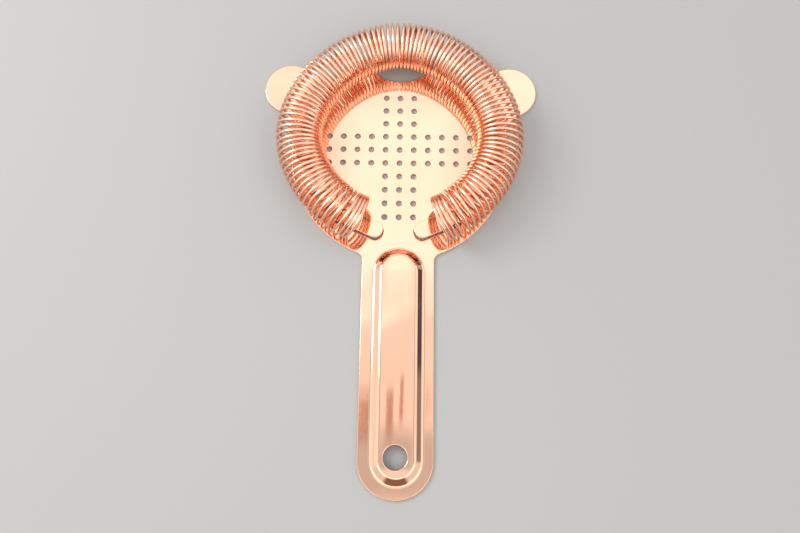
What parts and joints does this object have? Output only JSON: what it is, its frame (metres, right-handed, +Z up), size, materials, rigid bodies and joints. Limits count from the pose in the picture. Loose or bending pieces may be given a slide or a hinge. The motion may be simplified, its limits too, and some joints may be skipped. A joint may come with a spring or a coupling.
{
  "type": "hawthorne strainer",
  "caption": "Bar strainer: a perforated round plate with two ears, a long embossed handle and a coil spring bent round its edge to seat in a shaker tin.",
  "frame": {"origin": "centre of the disc, on the plate's smooth lower face", "axes": "+Z up from the plate towards the spring, +Y towards the front edge away from the handle, +X to the right ear"},
  "size_m": [0.098, 0.1628, 0.0169],
  "materials": {
    "plate": "mirror-polished rose-gold copper plating on stainless sheet",
    "spring": "polished rose-gold copper plating on stainless spring wire"
  },
  "bodies": {
    "plate": {"strainer_plate": "plate"},
    "spring": {"coil_spring": "spring"}
  },
  "joints": [
    {"name": "spring_squeeze", "type": "slide", "parent": "plate", "child": "spring", "axis": [0, -1, 0], "range_m": [0, 0.006], "stiffness_N_per_m": 400, "deforming": ["coil_spring"]}
  ]
}
